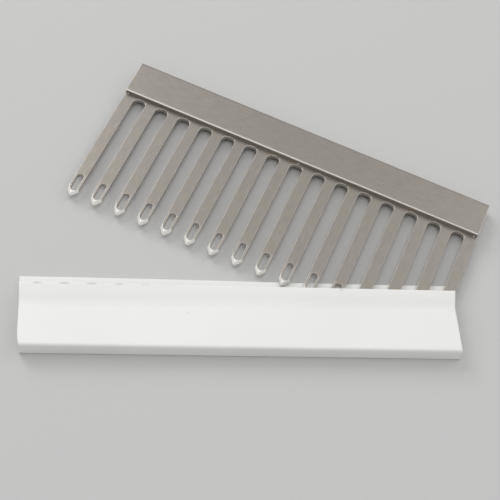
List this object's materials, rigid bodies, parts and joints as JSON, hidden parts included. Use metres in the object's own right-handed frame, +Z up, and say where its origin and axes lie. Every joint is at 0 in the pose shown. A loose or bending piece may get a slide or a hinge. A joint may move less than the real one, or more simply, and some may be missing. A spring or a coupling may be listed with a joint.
{
  "type": "transfer comb",
  "caption": "Flat steel comb with a folded spine and a row of eyed, pointed teeth, partly covered by a slide-off white plastic tooth guard.",
  "frame": {"origin": "middle of the spine's underside, where the comb rests on a surface", "axes": "+X along the spine, +Y from the teeth towards the spine's back, +Z up from the surface that the comb lies on"},
  "size_m": [0.0742, 0.0623, 0.0033],
  "materials": {
    "blade_steel": "bare stamped sheet, satin, with ground bright tips",
    "spine_steel": "bare folded sheet, satin, faint grain along its length",
    "weld_steel": "small as-welded beads",
    "guard_plastic": "white extruded plastic, soft sheen"
  },
  "bodies": {
    "comb": {"toothed_blade": "blade_steel", "spine_channel": "spine_steel", "tack_welds": "weld_steel"},
    "guard": {"tooth_guard": "guard_plastic"}
  },
  "joints": [
    {"name": "guard_pull_off", "type": "slide", "parent": "comb", "child": "guard", "axis": [0, -1, 0], "range_m": [0, 0.02]}
  ]
}
